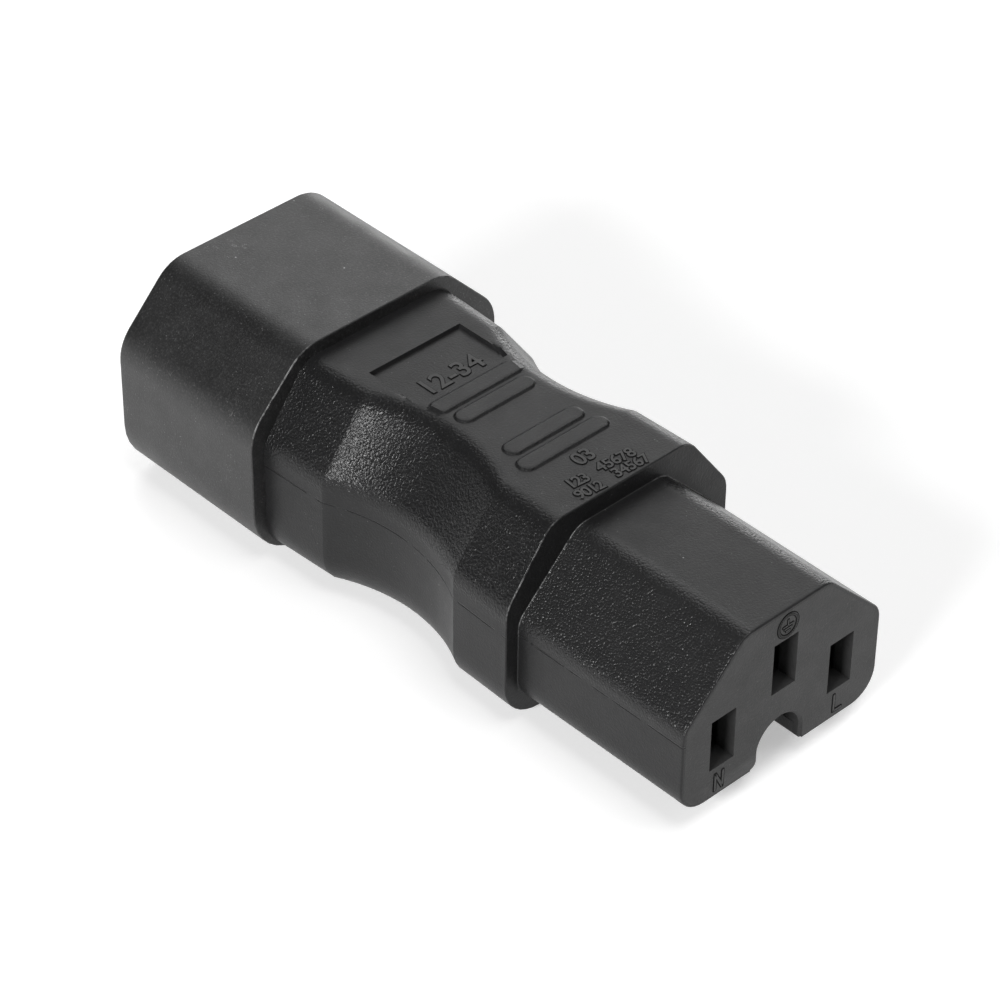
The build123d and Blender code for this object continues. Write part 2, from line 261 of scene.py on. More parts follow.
# %% Stations along the body
def pinch(y):
    """How far each side has moved in at y.

    It grows in a straight line from the flange to the waist's near end, and from the shroud to
    its far end. Between the two ends the depth of a circular arc comes on top.
    """
    ends = np.interp(y, (FLANGE_Y, WAIST_Y, WAIST_Y + WAIST_LENGTH, SHROUD_Y),
                     (0.0, *WAIST_ENDS, 0.0))
    reach = WAIST_LENGTH / 2
    radius = (reach**2 + WAIST_DEPTH**2) / (2 * WAIST_DEPTH)
    off_middle = np.clip(np.abs(y - WAIST_Y - reach), 0.0, reach)
    return ends + np.sqrt(radius**2 - off_middle**2) - (radius - WAIST_DEPTH)


STATION_STEP, RIB_ZONE, RIB_STATIONS, FLANGE_ZONE = 0.55, 1.12, 38, 0.4
FIELD_EDGE_STATIONS = np.array([0.04, 0.0, -0.04, -0.08, -0.12])
stations = [np.arange(SHROUD_Y - 30.2, SHROUD_Y, STATION_STEP)]
for place, _ in RIBS:
    stations.append(place + np.linspace(-RIB_ZONE, RIB_ZONE, RIB_STATIONS))
for edge in (-1, 1):
    stations.append(FIELD_Y + edge * (FIELD_HALF[1] + FIELD_EDGE_STATIONS))
stations.append(np.array([WAIST_Y, WAIST_Y + WAIST_LENGTH, SHROUD_Y]))
body_stations = np.unique(np.round(np.concatenate(stations), 3))
body_stations = body_stations[body_stations > FLANGE_Y + FLANGE_ZONE]
print("Stations along the body:", body_stations.size)

# %% [markdown]
# The skin starts as a narrow lip on the socket's face, turns round the front edge, runs back over
# the nose, up the front of the flange and along the body. Every fine edge gets a tight ring just
# before and just after it, or its smooth shading would spread over the flat faces. Each ring
# also keeps two numbers for the material: how much painted highlight its edge gets, and how much
# of the mould's grain it may show. EDGE, FILLET and FRONT are radii, LIP is the lip's width,
# GUARD is a tight ring's distance from its edge, and FACE_SET is how far the face is set back for
# its marks.

# %% Rings of the body, outside first and then back through the inside
EDGE, FILLET, FRONT, LIP, GUARD = 0.12, 0.10, 0.16, 0.33, 0.03
FACE_SET, HAIR = 0.07, 0.01
FACE_FRONT = FACE_Y + FACE_SET + HAIR
AT_COLLAR, AT_NECK, AT_PREMOULD, AT_INSERT = 4.55, 3.45, 3.55, 1.45
BEHIND_NOTCH = [-17.2, -16.0]
quarter = np.linspace(0.0, math.pi / 2, 5)
lip_stations = np.linspace(FACE_FRONT + FRONT, SKIN_Y - HAIR, 4)
skin_stations = np.linspace(SKIN_Y, NOTCH_END_Y, 11)
outside, edge_highlight_rows, grain_rows = [], [], []


def lay(points, edge_highlight=0.0, grained=1.0):
    """Add one ring to the skin, with its share of painted edge highlight and its share of grain.
    """
    outside.append(points)
    edge_highlight_rows.append(edge_highlight)
    grain_rows.append(grained)


lay(ring("nose", FACE_FRONT, inset=LIP), grained=0.0)
lay(ring("nose", FACE_FRONT, inset=FRONT + GUARD), grained=0.0)
for a in quarter[:-1]:
    lay(ring("nose", FACE_FRONT + FRONT * (1 - math.cos(a)), inset=FRONT * (1 - math.sin(a))),
        grained=math.sin(a))
first_paired = len(outside)
for y in (*lip_stations, *skin_stations, *BEHIND_NOTCH, FLANGE_Y - FILLET - GUARD):
    lay(ring("nose", y))
for a in quarter:
    lay(ring("nose", FLANGE_Y - FILLET * (1 - math.sin(a)), inset=-FILLET * (1 - math.cos(a))),
        edge_highlight=math.sin(2 * a), grained=math.cos(a))
lay(ring("nose", FLANGE_Y, inset=-FILLET - GUARD), grained=0.0)
lay(ring("body", FLANGE_Y, inset=EDGE + GUARD), grained=0.0)
for a in quarter:
    lay(ring("body", FLANGE_Y + EDGE * (1 - math.cos(a)), inset=EDGE * (1 - math.sin(a))),
        edge_highlight=math.sin(2 * a), grained=math.sin(a))
lay(ring("body", FLANGE_Y + EDGE + GUARD, narrower=float(pinch(FLANGE_Y + EDGE + GUARD))))
for y in body_stations:
    lay(ring("body", y, narrower=float(pinch(y))))

straight = (-NOTCH_HALF, NOTCH_HALF)
inside = [ring("shroud", SHROUD_Y, AT_COLLAR), ring("shroud", COLLAR_END_Y, AT_COLLAR),
          ring("shroud", COLLAR_END_Y, AT_NECK), ring("shroud", RETAINER_Y, AT_NECK),
          ring("body", RETAINER_Y, AT_PREMOULD), ring("body", COVER_END_Y, AT_PREMOULD)]
inside += [ring("nose", y, AT_INSERT, notch=straight) for y in (COVER_END_Y, *skin_stations[::-1])]
inside += [ring("nose", y, LIP) for y in lip_stations[::-1]]
body_rings = np.array(outside + inside)
print("Body rings:", body_rings.shape[0], "of", body_rings.shape[1], "points")

# %% [markdown]
# ### Ribs and sunk field
# A rib could be a separate bar laid on top, but it is moulded in one with the body, and its foot
# blends into the top. So the top is treated as a landscape: its height is a formula of x and y,
# and the same rings are simply lifted or lowered.

# %% Height of the top
RIB_RIM, FOOT_REACH, FIELD_RIM = 0.22, 0.16, 0.11


def inside_rib(x, y, place, length):
    """How far a point lies inside the rim of a bar with round ends: half the rib's width less
    the distance from its middle line."""
    beyond = np.maximum(np.abs(x) - (length / 2 - RIB_WIDTH / 2), 0.0)
    return RIB_WIDTH / 2 - np.hypot(beyond, y - place)


def rib_height(x, y, place, length):
    """Just inside the rim the height follows a quarter circle: full height times the root of
    1 - (1 - t) squared, where t goes from 0 on the rim to 1. Further in, t stays 1."""
    t = np.clip(inside_rib(x, y, place, length) / RIB_RIM, 0.0, 1.0)
    return RIB_HEIGHT * np.sqrt(1 - (1 - t) ** 2)


def rib_foot(x, y, place, length):
    """1 along the rib's foot, falling in a straight line to 0 on both sides of it."""
    return np.clip(1.0 - np.abs(inside_rib(x, y, place, length)) / FOOT_REACH, 0.0, 1.0)


def field_depth(x, y):
    """Full depth inside the field, falling along its rim within a tenth of a millimetre."""
    inside_rim = np.minimum(FIELD_HALF[0] - np.abs(x), FIELD_HALF[1] - np.abs(y - FIELD_Y))
    return FIELD_DEPTH * np.clip(inside_rim / FIELD_RIM, 0.0, 1.0)


outer = body_rings[:len(outside)]
on_top = np.abs(outer[..., 2] - BODY_TOP_Z) < 1e-6
x, y = outer[..., 0], outer[..., 1]
lift = sum(rib_height(x, y, place, length) for place, length in RIBS) - field_depth(x, y)
outer[..., 2] += np.where(on_top, lift, 0.0)
print("Highest rib point:", round(float(outer[..., 2].max()), 2), "mm")

# %% [markdown]
# ### The keying notch
# The groove under the nose cuts right through the soft skin. A boolean would leave long thin
# triangles there. So the columns over the notch are left out, and three walls close the gap: one
# on each side, with its rounded lip, and a flat one at the groove's end.

# %% Faces of the body
rows = len(body_rings)
paired = lip_stations.size + skin_stations.size
faces = ring_faces(rows, COLUMNS, closed_rows=True)
left_column, right_column = COLUMNS - BESIDE_NOTCH - OVER_NOTCH, COLUMNS - BESIDE_NOTCH
over_notch = np.zeros((rows, COLUMNS), dtype=bool)
gone_rows = list(range(first_paired + paired - 1)) + list(range(rows - paired, rows))
over_notch[np.ix_(gone_rows, range(left_column, right_column))] = True
face_list = faces[~over_notch].tolist()
vertices = body_rings.reshape(-1, 3)
WALL_POINTS, THIN_SHARE = 6, 0.9


def lip_profile(side, lip, thin):
    """Points up the notch's wall, from the bottom of the nose to the inside of its skin.

    Where the skin is full, they follow a quarter circle and end on the groove's side. Where it
    is only the thin lip, they go straight up.
    """
    low = HOUSINGS["nose"]["bottom"]
    t = np.linspace(0.0, 1.0, WALL_POINTS + 1)[1:]
    if thin:
        x = np.full(WALL_POINTS, side * (NOTCH_HALF + lip))
        return np.column_stack([x, low + LIP * t * THIN_SHARE])
    angle = t * math.pi / 2
    x = side * (NOTCH_HALF + lip * (1 - np.sin(angle)))
    return np.column_stack([x, low + lip * (1 - np.cos(angle))])


wall_stations = np.concatenate([lip_stations, skin_stations])
walls = {}
for side, lip, column in ((-1, LIPS[0], left_column), (1, LIPS[1], right_column)):
    grid = np.zeros((paired, WALL_POINTS + 2), dtype=int)
    grid[:, 0] = (first_paired + np.arange(paired)) * COLUMNS + column
    grid[:, -1] = (rows - 1 - np.arange(paired)) * COLUMNS + column
    extra = np.array([[(px, ny, pz) for px, pz in lip_profile(side, lip, ny < SKIN_Y - HAIR / 2)]
                      for ny in wall_stations])
    grid[:, 1:-1] = len(vertices) + np.arange(paired * WALL_POINTS).reshape(paired, -1)
    vertices = np.concatenate([vertices, extra.reshape(-1, 3)])
    quads = np.stack([grid[:-1, :-1], grid[1:, :-1], grid[1:, 1:], grid[:-1, 1:]], axis=-1)
    quads = quads.reshape(-1, 4)
    cap = [row * COLUMNS + column for row in range(first_paired)] + grid[0].tolist()
    face_list += (quads if side < 0 else quads[:, ::-1]).tolist()
    face_list.append(cap if side < 0 else cap[::-1])
    walls[side] = grid[-1]

end_row, inner_row = first_paired + paired - 1, rows - paired
bottom_edge = [end_row * COLUMNS + c for c in range(left_column, right_column + 1)]
upper_edge = [inner_row * COLUMNS + c for c in range(right_column, left_column - 1, -1)]
face_list.append(bottom_edge + walls[1][1:-1].tolist() + upper_edge
                 + walls[-1][1:-1][::-1].tolist())
moulded_body = new_piece("moulded_body", vertices, face_list)
print("Moulded body:", len(face_list), "faces")

# %% [markdown]
# ### Where the grain is
# The mould was left smooth on the flat faces and spark-eroded on the slanting ones, so the
# grain fades out over the rounded edges. A painted mask would do, but this is a formula: each
# vertex gets its nearness to the slanting plane, as the strength of the grain there.

# %% Grain and edge attributes
GRAIN_REACH = 1.15


def slant_nearness(points, housing, narrower=0.0):
    """1 on the slanting face, falling to 0 at about a millimetre below its plane.

    t is the distance above the lowest place with grain, and it is eased by t * t * (3 - 2 * t).
    """
    size = HOUSINGS[housing]
    cut_x, cut_z = size["cut"]
    top = size["bottom"] + size["height"]
    along = (np.abs(points[:, 0]) + narrower - size["width"] / 2) * cut_z
    rise = (points[:, 2] - (top - cut_z)) * cut_x
    t = np.clip((along + rise) / math.hypot(cut_x, cut_z) + GRAIN_REACH, 0.0, 1.0)
    return t * t * (3 - 2 * t)


on_nose = vertices[:, 1] < FLANGE_Y - HAIR
slant = np.where(on_nose, slant_nearness(vertices, "nose"),
                 slant_nearness(vertices, "body", pinch(vertices[:, 1])))


def by_row(values):
    """One value per outside ring, spread over the ring's points. The inside and walls get 0."""
    spread = np.zeros(len(vertices))
    spread[:len(values) * COLUMNS] = np.repeat(values, COLUMNS)
    return spread


grain = slant * by_row(grain_rows)
feet = np.zeros(len(vertices))
feet[:on_top.size] = np.where(on_top, sum(rib_foot(x, y, place, length)
                                          for place, length in RIBS), 0.0).ravel()
set_attribute(moulded_body, "grain", grain)
# The "edge" attribute is a painted highlight: the flange's rounded edges turn paler near the
# slanting faces.
set_attribute(moulded_body, "edge", slant * by_row(edge_highlight_rows))
set_attribute(moulded_body, "foot", feet)
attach(moulded_body, "root")
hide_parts("overmould_body")
print("Share of grained vertices:", round(float((grain > 0.5).mean()), 2))

# %% [markdown]
# ## The plug shroud
# The shroud is a hard moulding of its own: a deep cup with a neck that the soft body grips. A
# Solidify modifier could give a box this wall, but not the neck. With rings, the skin starts at
# the front of the neck, runs out over the ledge, back along the outside, round the rim and down
# the inside to the floor.

# %% Rings of the shroud
RIM, LEDGE_EDGE, FLOOR_FILLET, WALL = 0.35, 0.12, 0.5, 2.15
NECK_INSET, COLLAR_INSET, MID_LEDGE, TALL_WALL, DEEP_WALL = 3.5, 4.6, 2.0, 24, 8
cup = [ring("shroud", COLLAR_Y, NECK_INSET), ring("shroud", COLLAR_END_Y, NECK_INSET),
       ring("shroud", COLLAR_END_Y, COLLAR_INSET), ring("shroud", SHROUD_Y, COLLAR_INSET),
       ring("shroud", SHROUD_Y, MID_LEDGE), ring("shroud", SHROUD_Y, LEDGE_EDGE + GUARD)]
cup += [ring("shroud", SHROUD_Y + LEDGE_EDGE * (1 - math.cos(a)), LEDGE_EDGE * (1 - math.sin(a)))
        for a in quarter]
cup += [ring("shroud", y)
        for y in np.linspace(SHROUD_Y + LEDGE_EDGE + GUARD, RIM_Y - RIM, TALL_WALL)]
cup += [ring("shroud", RIM_Y - RIM * (1 - math.sin(a)), RIM * (1 - math.cos(a)))
        for a in quarter[1:]]
cup += [ring("shroud", RIM_Y - RIM * (1 - math.cos(a)), WALL - RIM * (1 - math.sin(a)))
        for a in quarter]
cup += [ring("shroud", y, WALL)
        for y in np.linspace(RIM_Y - 2.0, FLOOR_Y + FLOOR_FILLET, DEEP_WALL)]
cup += [ring("shroud", FLOOR_Y + FLOOR_FILLET * (1 - math.sin(a)),
             WALL + FLOOR_FILLET * (1 - math.cos(a))) for a in quarter[1:]]
cup = np.array(cup)
face_list = ring_faces(len(cup), COLUMNS).reshape(-1, 4).tolist()
face_list.append(list(range(COLUMNS)))
face_list.append([(len(cup) - 1) * COLUMNS + c for c in range(COLUMNS)][::-1])
cup_points = cup.reshape(-1, 3)
shroud_skin = new_piece("shroud_skin", cup_points, face_list)
# Painted highlight: the ledge's rounded edge turns paler where it meets the slanting faces,
# through the "edge" attribute.
rounding = (cup_points[:, 1] > SHROUD_Y) & (cup_points[:, 1] < SHROUD_Y + LEDGE_EDGE)
edge_highlight = np.where(rounding, slant_nearness(cup_points, "shroud"), 0.0)
set_attribute(shroud_skin, "edge", edge_highlight)
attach(shroud_skin, "root")
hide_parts("plug_shroud")
print("Shroud skin:", len(face_list), "faces")

# %% [markdown]
# ## The socket insert and the pins
# Their shapes are right in the frame, but their edges are knife-sharp, and nothing moulded or
# stamped is. A copy of each solid gets whole flat faces again, and a Bevel modifier breaks every
# edge a little. The insert's face plate is also drawn in under the lip of the soft skin, because
# no joint shows there on the real one.

# %% Softened copies of solids
BROKEN_ANGLE = math.radians(28)


def triples(items, key):
    """A property of every vertex or face, as rows of three numbers."""
    values = np.empty(len(items) * 3)
    items.foreach_get(key, values)
    return values.reshape(-1, 3)


def clean(mesh, apart, flat=0.0):
    """Join corners that are hardly apart, and make each flat face whole if an angle is given."""
    work = bmesh.new()
    work.from_mesh(mesh)
    bmesh.ops.remove_doubles(work, verts=work.verts, dist=apart)
    if flat:
        bmesh.ops.dissolve_limit(work, angle_limit=flat, verts=work.verts, edges=work.edges)
    work.to_mesh(mesh)
    work.free()


def softened_copy(node, name, width_mm, moved=np.copy):
    """A copy of a node's mesh with joined corners, whole flat faces and slightly broken edges.
    A function may move its points, given in millimetres."""
    mesh = frame["nodes"][node].data.copy()
    clean(mesh, 2e-6, math.radians(0.6))
    points = moved(triples(mesh.vertices, "co") * 1000) / 1000
    mesh.vertices.foreach_set("co", points.ravel())
    mesh.name = name
    mesh.materials.clear()
    mesh.shade_smooth()
    mesh.set_sharp_from_angle(angle=BROKEN_ANGLE)
    piece = put(name, mesh)
    bevel = piece.modifiers.new("broken_edges", "BEVEL")
    bevel.width, bevel.segments = width_mm / 1000, 2
    bevel.limit_method, bevel.angle_limit = "ANGLE", BROKEN_ANGLE
    bevel.harden_normals = True
    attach(piece, "root")
    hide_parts(node)
    return piece


def under_the_lip(points):
    """Draw the face plate's rim in under the skin's lip, and set its face back for the marks.

    A point beyond one of the six planes that lie just inside the lip moves along that plane's
    normal onto it. The notch's own surfaces stay where they are.
    """
    points = points.copy()
    size, keep = HOUSINGS["nose"], LIP - GUARD
    plate = points[:, 1] < SKIN_Y + HAIR / 2
    x, z = points[:, 0], points[:, 2]
    top = size["bottom"] + size["height"]
    cut_x, cut_z = size["cut"]
    normal = np.array([cut_z, cut_x]) / math.hypot(cut_x, cut_z)
    over = (np.abs(x) - size["width"] / 2) * normal[0] + (z - top + cut_z) * normal[1] + keep
    over = np.where(plate, np.maximum(over, 0.0), 0.0)
    x = x - np.sign(x) * over * normal[0]
    z = z - over * normal[1]
    x = np.where(plate, np.clip(x, keep - size["width"] / 2, size["width"] / 2 - keep), x)
    beside_notch = (x < -NOTCH_HALF - LIPS[0] + HAIR) | (x > NOTCH_HALF + LIPS[1] - HAIR)
    z = np.where(plate & beside_notch, np.maximum(z, size["bottom"] + keep), z)
    z = np.where(plate, np.minimum(z, top - keep), z)
    return np.column_stack([x, np.maximum(points[:, 1], FACE_Y + FACE_SET), z])


socket_face = softened_copy("socket_insert", "socket_face", 0.04, under_the_lip)
blades = [softened_copy(f"{name}_pin", f"{name}_blade", 0.12)
          for name in ("line", "neutral", "earth")]
print("Softened pieces:", socket_face.name, [blade.name for blade in blades])

# %% [markdown]
# The inside of the slots and the groove is in deep shade. Those faces get a second material, a
# painted tone for that shade, paler and duller than the face. They are told apart here by how far
# they lie behind the face.

# %% Faces in the shade of the slots
SHADE_DEPTH = 0.2
centres = triples(socket_face.data.polygons, "center") * 1000
in_shade = centres[:, 1] > FACE_Y + FACE_SET + SHADE_DEPTH
socket_face.data.polygons.foreach_set("material_index", in_shade.astype(np.int32))
print("Shaded faces:", int(in_shade.sum()), "of", in_shade.size)

# %% [markdown]
# ## Marks
# A mains connector has the letters N and L and the earth sign by its slots. They are raised by a
# few hundredths of a millimetre, with a dark line round their foot. That line and the lower part
# of each stroke's side are painted shade, a darker and duller material than the top. A stroke is
# a short bar with round ends, carried up through four outlines: a wide dark foot, the stroke's own
# width twice, and a slightly narrower top. A font could give the letters, but not the earth sign
# beside them.

# %% Strokes on a plane
FOOT_WIDER, FOOT_HEIGHT, STEM_HEIGHT, SHOULDER, TOP_SHARE = 0.21, 0.004, 0.012, 0.6, 0.7


def stroke_outline(start, end, width, points=7):
    """Outline of a stroke: two half circles about its ends, joined by straight sides."""
    start, end = np.array(start, float), np.array(end, float)
    heading = math.atan2(end[1] - start[1], end[0] - start[0])
    angle = np.linspace(-math.pi / 2, math.pi / 2, points) + heading
    cap = width / 2 * np.stack([np.cos(angle), np.sin(angle)], axis=1)
    return np.concatenate([end + cap, start - cap])


def raised_stroke(start, end, width, height, points=7):
    """The stroke's four outlines, one above the other, as points (u, v, h)."""
    levels = ((width + FOOT_WIDER, FOOT_HEIGHT), (width, STEM_HEIGHT),
              (width, height * SHOULDER), (width * TOP_SHARE, height))
    return np.array([np.column_stack([stroke_outline(start, end, wide, points),
                                      np.full(points * 2, h)]) for wide, h in levels])


def on_face(points):
    """u is x and v is z on the socket's face; height is measured out of the face, towards -y."""
    return np.column_stack([points[:, 0], FACE_Y + FACE_SET - points[:, 2], points[:, 1]])


def marks_piece(name, strokes, width, height, points=7):
    """All the strokes of one mark in one piece, on the socket's face."""
    solid = np.array([raised_stroke(a, b, width, height, points) for a, b in strokes])
    count, levels, around = solid.shape[:3]
    index = np.arange(count * levels * around).reshape(count, levels, around)
    beyond = np.roll(index, -1, axis=2)
    sides = np.stack([index[:, :-1], beyond[:, :-1], beyond[:, 1:], index[:, 1:]], axis=-1)
    polygons = sides.reshape(-1, 4).tolist() + index[:, -1].tolist() + index[:, 0, ::-1].tolist()
    piece = new_piece(name, on_face(solid.reshape(-1, 3)), polygons)
    # Painted shade: the foot band, the stem band and the bottom get the dark material.
    painted_shade_faces = np.zeros((count, levels - 1, around), dtype=np.int32)
    painted_shade_faces[:, :2] = 1
    painted_shade_faces = np.concatenate([painted_shade_faces.ravel(), np.zeros(count, np.int32), np.ones(count, np.int32)])
    piece.data.polygons.foreach_set("material_index", painted_shade_faces)
    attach(piece, "root")
    return piece


def chain(*corners):
    """Strokes from each corner to the next."""
    return list(zip(corners[:-1], corners[1:]))


def circle(centre, radius, count=32):
    """A ring as short overlapping strokes, the sides of a polygon with many corners."""
    angle = np.linspace(0, 2 * math.pi, count + 1)
    return chain(*(np.array(centre) + radius * np.stack([np.cos(angle), np.sin(angle)], 1)))


print("A stroke has", raised_stroke((0, 0), (1, 0), 0.2, 0.05).shape[:2], "outlines and points")

# %% N, L and the earth sign on the face
EARTH_AT, EARTH_RADIUS = (0.05, 15.85), 1.10
letter_n = chain((-7.65, 2.62), (-7.65, 4.32), (-6.78, 2.62), (-6.78, 4.32))
letter_l = chain((6.55, 4.40), (6.55, 2.66), (7.45, 2.66))
at_x, at_z = EARTH_AT
bars = [((at_x - half, at_z + up), (at_x + half, at_z + up))
        for half, up in ((0.56, -0.02), (0.38, -0.30), (0.19, -0.56))]
stem = [((at_x, at_z - 0.02), (at_x, at_z + 0.55))]
face_marks = [marks_piece("letter_n", letter_n, 0.24, 0.060),
              marks_piece("letter_l", letter_l, 0.24, 0.060),
              marks_piece("earth_sign", bars + stem, 0.14, 0.055),
              marks_piece("earth_ring", circle(EARTH_AT, EARTH_RADIUS), 0.22, 0.060, points=5)]
print("Marks on the face:", [mark.name for mark in face_marks])

# %% [markdown]
# ### Plain numbers on the body
# The moulded body carries plain raised numbers from its mould, in the sunk field and next to the
# flange. Blender's own font gives their outlines, which are made a mesh first and then put in
# place. A second, slightly fatter and very low copy makes the dark line round each digit's foot.
# That line and the digits' sides are painted shade, a darker and duller material than their lids.

# %% Numbers from Blender's font
DIGIT_SHARE = 0.7


def number_piece(name, words, height_mm, middle, z, rise, fatter, spacing, turned, foot):
    """Raised digits on a level top, turned about their middle. Only their lids are light; their
    sides and the whole foot copy get the dark material, painted shade.
    """
    curve = bpy.data.curves.new(name, "FONT")
    curve.body, curve.size = words, height_mm / DIGIT_SHARE / 1000
    curve.align_x, curve.align_y = "CENTER", "CENTER"
    curve.space_character, curve.resolution_u = spacing, 3
    curve.extrude, curve.offset = rise / 2000, fatter / 1000
    text = put(name + "_text", curve)
    bpy.context.view_layer.update()
    mesh = bpy.data.meshes.new_from_object(text.evaluated_get(
        bpy.context.evaluated_depsgraph_get()))
    bpy.data.objects.remove(text)
    bpy.data.curves.remove(curve)
    clean(mesh, 1e-7)
    points = triples(mesh.vertices, "co")
    u, v = points[:, 0].copy(), points[:, 1].copy()
    cosine, sine = math.cos(math.radians(turned)), math.sin(math.radians(turned))
    points[:, 0], points[:, 1] = u * cosine - v * sine, u * sine + v * cosine
    points += np.array([middle[0], middle[1], z]) / 1000
    mesh.vertices.foreach_set("co", points.ravel())
    mesh.name = name
    mesh.materials.clear()
    lid = triples(mesh.polygons, "normal")[:, 2] > 0.5
    mesh.polygons.foreach_set("material_index", np.where(lid & (not foot), 0, 1).astype(np.int32))
    piece = put(name, mesh)
    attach(piece, "root")
    return piece


DIGIT, FOOT = (0.16, 0.03, False), (0.04, 0.11, True)
NUMBERS = {
    "field_number": ("12-34", 2.1, (-0.05, 5.95), BODY_TOP_Z - FIELD_DEPTH, 1.0, 0.0),
    "small_number": ("03", 1.6, (0.0, -10.25), BODY_TOP_Z, 0.9, 0.0),
    "upper_left_number": ("123", 1.2, (-2.65, -12.25), BODY_TOP_Z, 0.85, -6.0),
    "upper_right_number": ("45678", 1.2, (1.65, -12.35), BODY_TOP_Z, 0.92, -5.0),
    "lower_left_number": ("9012", 1.15, (-2.75, -13.78), BODY_TOP_Z, 0.85, -5.0),
    "lower_right_number": ("34567", 1.15, (2.05, -13.78), BODY_TOP_Z, 0.92, -4.0),
}
body_marks = []
for name, (words, height, middle, z, spacing, turned) in NUMBERS.items():
    for suffix, (rise, fatter, foot) in (("", DIGIT), ("_foot", FOOT)):
        body_marks.append(number_piece(name + suffix, words, height, middle, z, rise, fatter,
                                       spacing, turned, foot))
print("Numbers:", [mark.name for mark in body_marks])

# %% [markdown]
# ## Materials
# The plastics are nearly black. What tells them apart is how they reflect: the soft moulding is
# satin and grained, the shroud has a faint haze of dust, and the socket's face is plain. A few
# helpers keep the node trees readable.

# %% Node helpers
def new_material(name):
    """A material with its node tree and its shader."""
    material = bpy.data.materials.new(name)
    material.use_nodes = True
    tree = material.node_tree
    return material, tree, tree.nodes["Principled BSDF"]


def node(tree, kind, inputs=(), **settings):
    """One node: settings are its options, inputs are numbers or sockets by name or number."""
    made = tree.nodes.new(kind)
    for key, value in settings.items():
        setattr(made, key, value)
    for key, value in dict(inputs).items():
        if isinstance(value, bpy.types.NodeSocket):
            tree.links.new(value, made.inputs[key])
        else:
            made.inputs[key].default_value = value
    return made


def calc(tree, operation, first, second=0.0, clamp=False):
    """One Math node, as a socket."""
    made = node(tree, "ShaderNodeMath", {0: first, 1: second}, operation=operation)
    made.use_clamp = clamp
    return made.outputs[0]


def times(tree, first, second):
    """The product of two sockets or numbers."""
    return calc(tree, "MULTIPLY", first, second)


def stretch(tree, value, low, high, to_low=0.0, to_high=1.0):
    """Map Range from one interval to another, clamped at both ends."""
    made = node(tree, "ShaderNodeMapRange", {0: value, 1: low, 2: high, 3: to_low, 4: to_high})
    return made.outputs[0]


def here(tree):
    """The point in Object coordinates, in metres, as one socket."""
    return node(tree, "ShaderNodeTexCoord").outputs["Object"]


def noise(tree, scale, detail=2.0, roughness=0.5, distortion=0.0):
    """Noise on Object coordinates. The scale is in cells per metre."""
    made = node(tree, "ShaderNodeTexNoise",
                {"Vector": here(tree), "Scale": scale, "Detail": detail, "Roughness": roughness,
                 "Distortion": distortion})
    return made.outputs["Fac"]


def specks(tree, scale, size, share):
    """1 in small round spots: near the seed of a Voronoi cell, in a share of the cells."""
    cells = node(tree, "ShaderNodeTexVoronoi", {"Vector": here(tree), "Scale": scale})
    near = stretch(tree, cells.outputs["Distance"], size * 0.6, size, 1.0, 0.0)
    number = node(tree, "ShaderNodeSeparateColor", {0: cells.outputs["Color"]}).outputs[0]
    chosen = calc(tree, "LESS_THAN", number, share)
    return times(tree, near, chosen)


def blend_colours(tree, amount, first, second):
    """From the first colour to the second one, as the amount goes from 0 to 1."""
    made = node(tree, "ShaderNodeMix", {0: amount}, data_type="RGBA")
    for socket, value in ((made.inputs[6], first), (made.inputs[7], second)):
        if isinstance(value, bpy.types.NodeSocket):
            tree.links.new(value, socket)
        else:
            socket.default_value = (*value, 1.0)
    return made.outputs[2]


def bump(tree, height, distance, strength=1.0, below=None):
    """A tilted normal from a height, on top of another bump where one is given."""
    inputs = {"Height": height, "Distance": distance, "Strength": strength}
    if below is not None:
        inputs["Normal"] = below
    return node(tree, "ShaderNodeBump", inputs).outputs["Normal"]


def connect(tree, shader, colour, roughness, normal):
    """Feed the shader its colour, roughness and normal."""
    for name, value in (("Base Color", colour), ("Roughness", roughness), ("Normal", normal)):
        tree.links.new(value, shader.inputs[name])


print("Node helpers ready")

# %% [markdown]
# ### The black plastics
# One function makes all of them, with a switch for each trace that a plastic may have, and one
# for a painted highlight along rounded edges. A photographed texture would bring one specimen's
# dirt along. The grain is round pebbles on the nose and crooked worms on the body, and shallow,
# or the waist's highlight would break up.

# %% Values that the mesh and its places give
def place_parts(tree):
    """x, y and z of the point, in metres, as three sockets."""
    return node(tree, "ShaderNodeSeparateXYZ", {0: here(tree)}).outputs


def own_value(tree, name):
    """A number that the mesh keeps for each vertex."""
    return node(tree, "ShaderNodeAttribute", attribute_name=name).outputs["Fac"]


BODY_SEAM_Y, BODY_SEAM_Z, NOSE_SEAM_Z = (-0.0147, 0.0158), (0.0100, 0.0106), 0.0096


def parting_line(tree):
    """1 on the line where the mould's halves met: a hair's breadth, rising a little with y."""
    parts = place_parts(tree)
    on_body = calc(tree, "GREATER_THAN", parts[1], FLANGE_Y / 1000)
    line = stretch(tree, parts[1], *BODY_SEAM_Y, *BODY_SEAM_Z)
    line = calc(tree, "ADD", times(tree, line, on_body),
                times(tree, calc(tree, "SUBTRACT", 1.0, on_body), NOSE_SEAM_Z))
    off = calc(tree, "ABSOLUTE", calc(tree, "SUBTRACT", parts[2], line))
    broken = stretch(tree, noise(tree, 500.0, 2.0), 0.40, 0.52)
    return times(tree, stretch(tree, off, 0.00003, 0.00010, 1.0, 0.0), broken)


